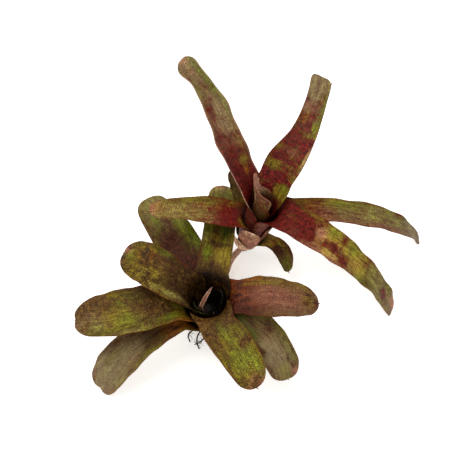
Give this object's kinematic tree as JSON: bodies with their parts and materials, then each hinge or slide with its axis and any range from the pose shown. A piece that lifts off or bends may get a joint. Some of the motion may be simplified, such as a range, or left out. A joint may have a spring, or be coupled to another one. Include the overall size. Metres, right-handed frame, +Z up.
{
  "type": "neoregelia bromeliad",
  "caption": "Bare-root bromeliad clump: a broad-leaved rosette with a dark central cup, joined by a runner to a taller pup with long red and green mottled leaves.",
  "frame": {"origin": "centre of the flat cut foot of the mother rosette's stem, on the surface it rests on", "axes": "+Z up; +Y from the mother rosette towards the pup behind it; +X to the right as the picture sees it"},
  "size_m": [0.2671, 0.2235, 0.1402],
  "materials": {
    "bract": "matt, papery",
    "mother_inner_leaf": "satin, dark olive with pale rose edges",
    "mother_leaf": "satin, mottled olive and maroon",
    "pup_inner_leaf": "matt, brown with pale scurf",
    "pup_leaf": "satin, maroon blotched with yellow-green",
    "root": "matt, wiry",
    "runner": "matt, pinkish tan",
    "stem": "matt"
  },
  "bodies": {
    "root": {"mother_heart_leaf": "mother_inner_leaf", "mother_leaf_01": "mother_leaf", "mother_leaf_02": "mother_leaf", "mother_leaf_03": "mother_leaf", "mother_leaf_04": "mother_leaf", "mother_leaf_05": "mother_leaf", "mother_leaf_06": "mother_leaf", "mother_leaf_07": "mother_leaf", "mother_leaf_08": "mother_leaf", "mother_leaf_09": "mother_inner_leaf", "mother_leaf_10": "mother_inner_leaf", "mother_leaf_11": "mother_inner_leaf", "mother_stem": "stem", "pup_heart_leaf": "pup_inner_leaf", "pup_leaf_01": "pup_leaf", "pup_leaf_02": "pup_leaf", "pup_leaf_03": "pup_leaf", "pup_leaf_04": "pup_leaf", "pup_leaf_05": "pup_leaf", "pup_leaf_06": "pup_leaf", "pup_leaf_07": "pup_leaf", "pup_pink_bract": "bract", "pup_stem": "stem", "pup_tan_bract": "bract", "root_01": "root", "root_02": "root", "root_03": "root", "root_04": "root", "root_05": "root", "runner": "runner", "runner_bract_01": "bract", "runner_bract_02": "bract"}
  },
  "joints": []
}
